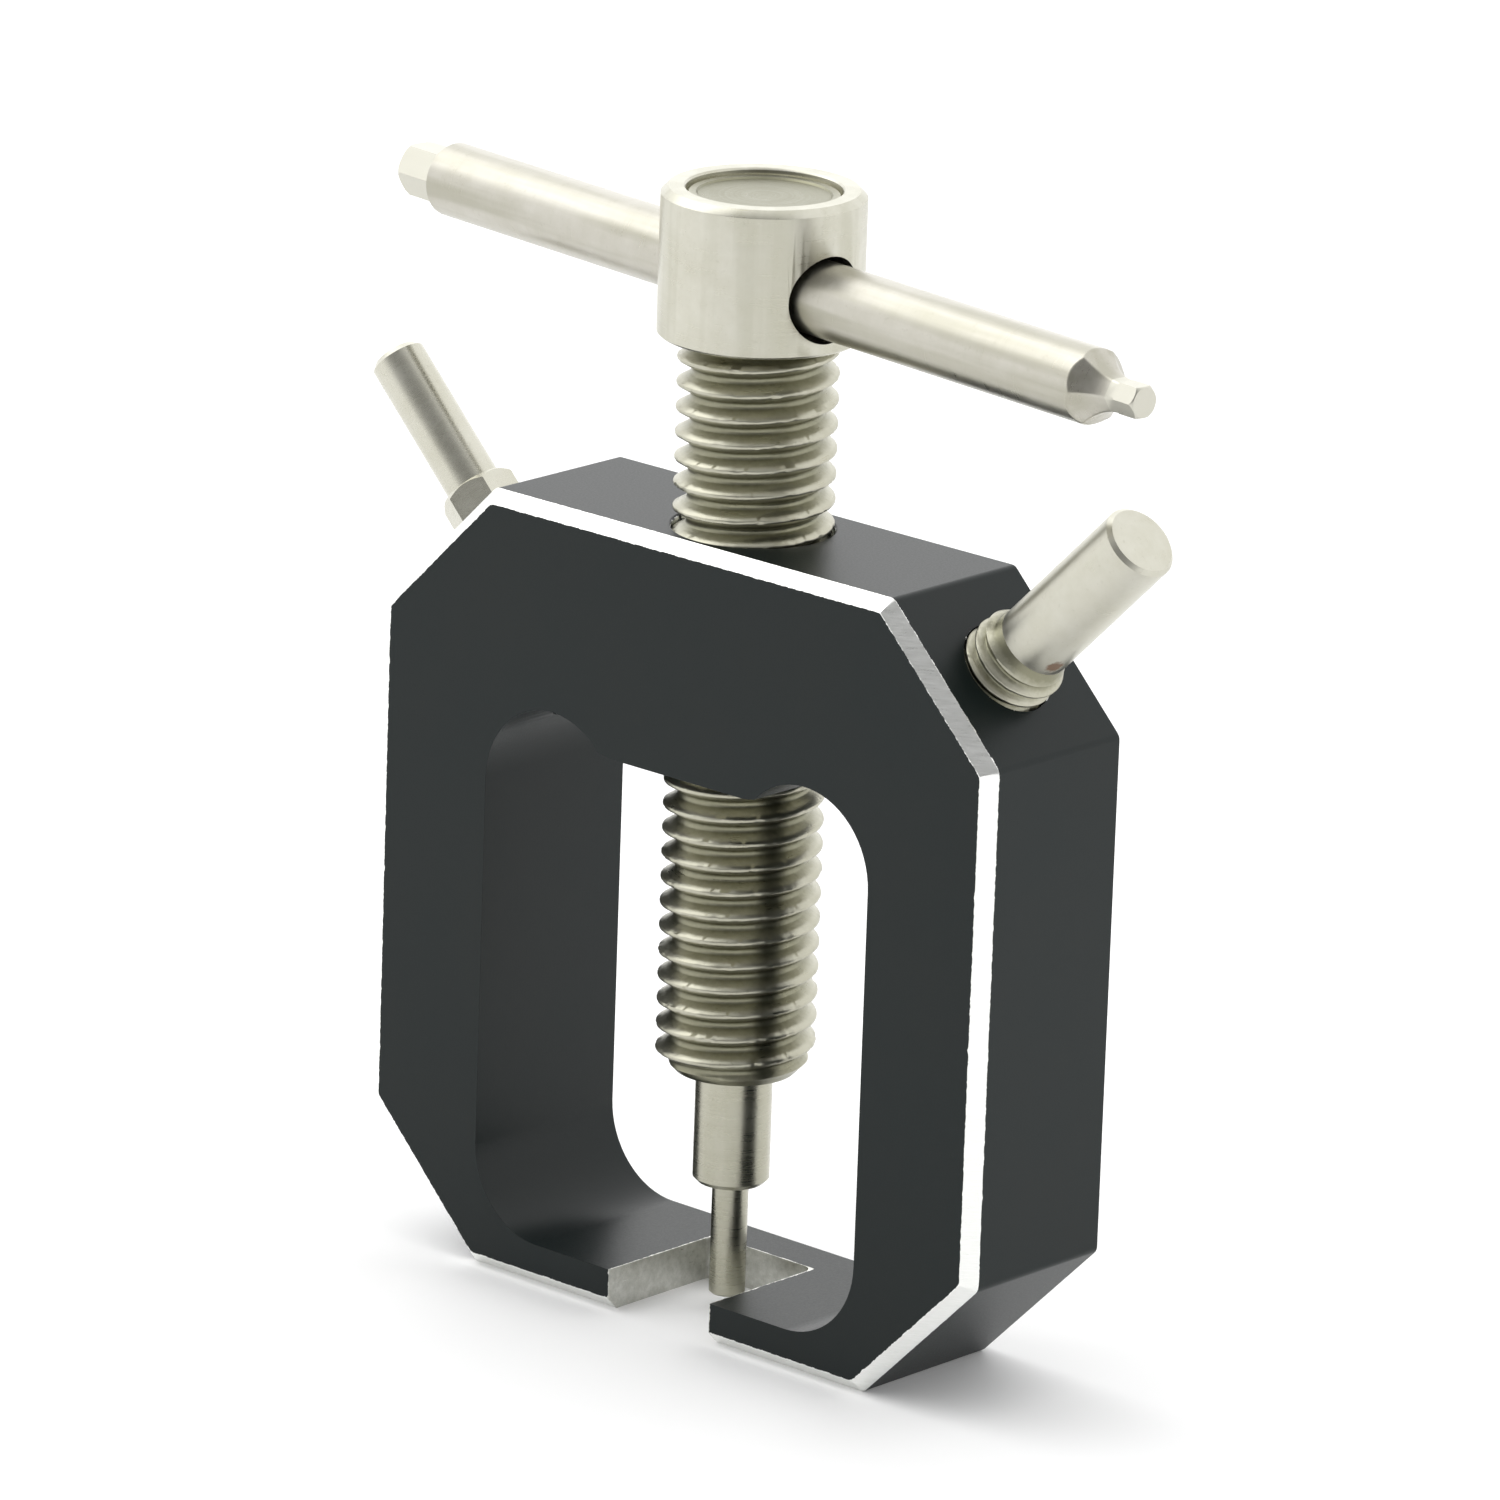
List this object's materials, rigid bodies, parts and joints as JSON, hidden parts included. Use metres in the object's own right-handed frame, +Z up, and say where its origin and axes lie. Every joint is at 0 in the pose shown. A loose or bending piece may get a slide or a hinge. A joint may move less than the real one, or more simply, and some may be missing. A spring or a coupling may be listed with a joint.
{
  "type": "pinion gear puller",
  "caption": "Small eight-sided C-frame puller with a forked foot, a press screw with a sliding cross bar with hex key ends, a push pin and spare pins on the shoulders.",
  "frame": {"origin": "on the press screw's axis, in the plane of the frame's underside", "axes": "+Z up along the press screw; -Y is the open front of the fork; +X is the side of the plain spare pin"},
  "size_m": [0.0539, 0.01, 0.0569],
  "materials": {
    "black_anodised": "satin",
    "steel": "satin"
  },
  "bodies": {
    "frame": {"frame": "black_anodised"},
    "pin_carrier": {"push_pin": "steel"},
    "screw": {"press_screw": "steel", "screw_head": "steel"},
    "bar": {"tommy_bar": "steel"},
    "spare_plain": {"spare_pin_plain": "steel"},
    "spare_collared": {"spare_pin_collared": "steel"}
  },
  "joints": [
    {"name": "screw_travel", "type": "slide", "parent": "frame", "child": "pin_carrier", "axis": [0, 0, 1], "range_m": [-0.00457, 0.01576]},
    {"name": "screw_turn", "type": "hinge", "parent": "pin_carrier", "child": "screw", "pos_m": [0, 0, 0.03], "axis": [0, 0, 1], "range_deg": [-1314, 4536]},
    {"name": "bar_slide", "type": "slide", "parent": "screw", "child": "bar", "axis": [0.9919, -0.1271, 0], "range_m": [-0.018, 0.018]},
    {"name": "plain_pin_unscrew", "type": "slide", "parent": "frame", "child": "spare_plain", "axis": [0.7071, 0, 0.7071], "range_m": [0, 0.0052]},
    {"name": "collared_pin_unscrew", "type": "slide", "parent": "frame", "child": "spare_collared", "axis": [-0.7071, 0, 0.7071], "range_m": [0, 0.006]}
  ],
  "couplings": [
    {"joint": "screw_travel", "follows": "screw_turn", "m_per_rad": 0.00019894}
  ]
}
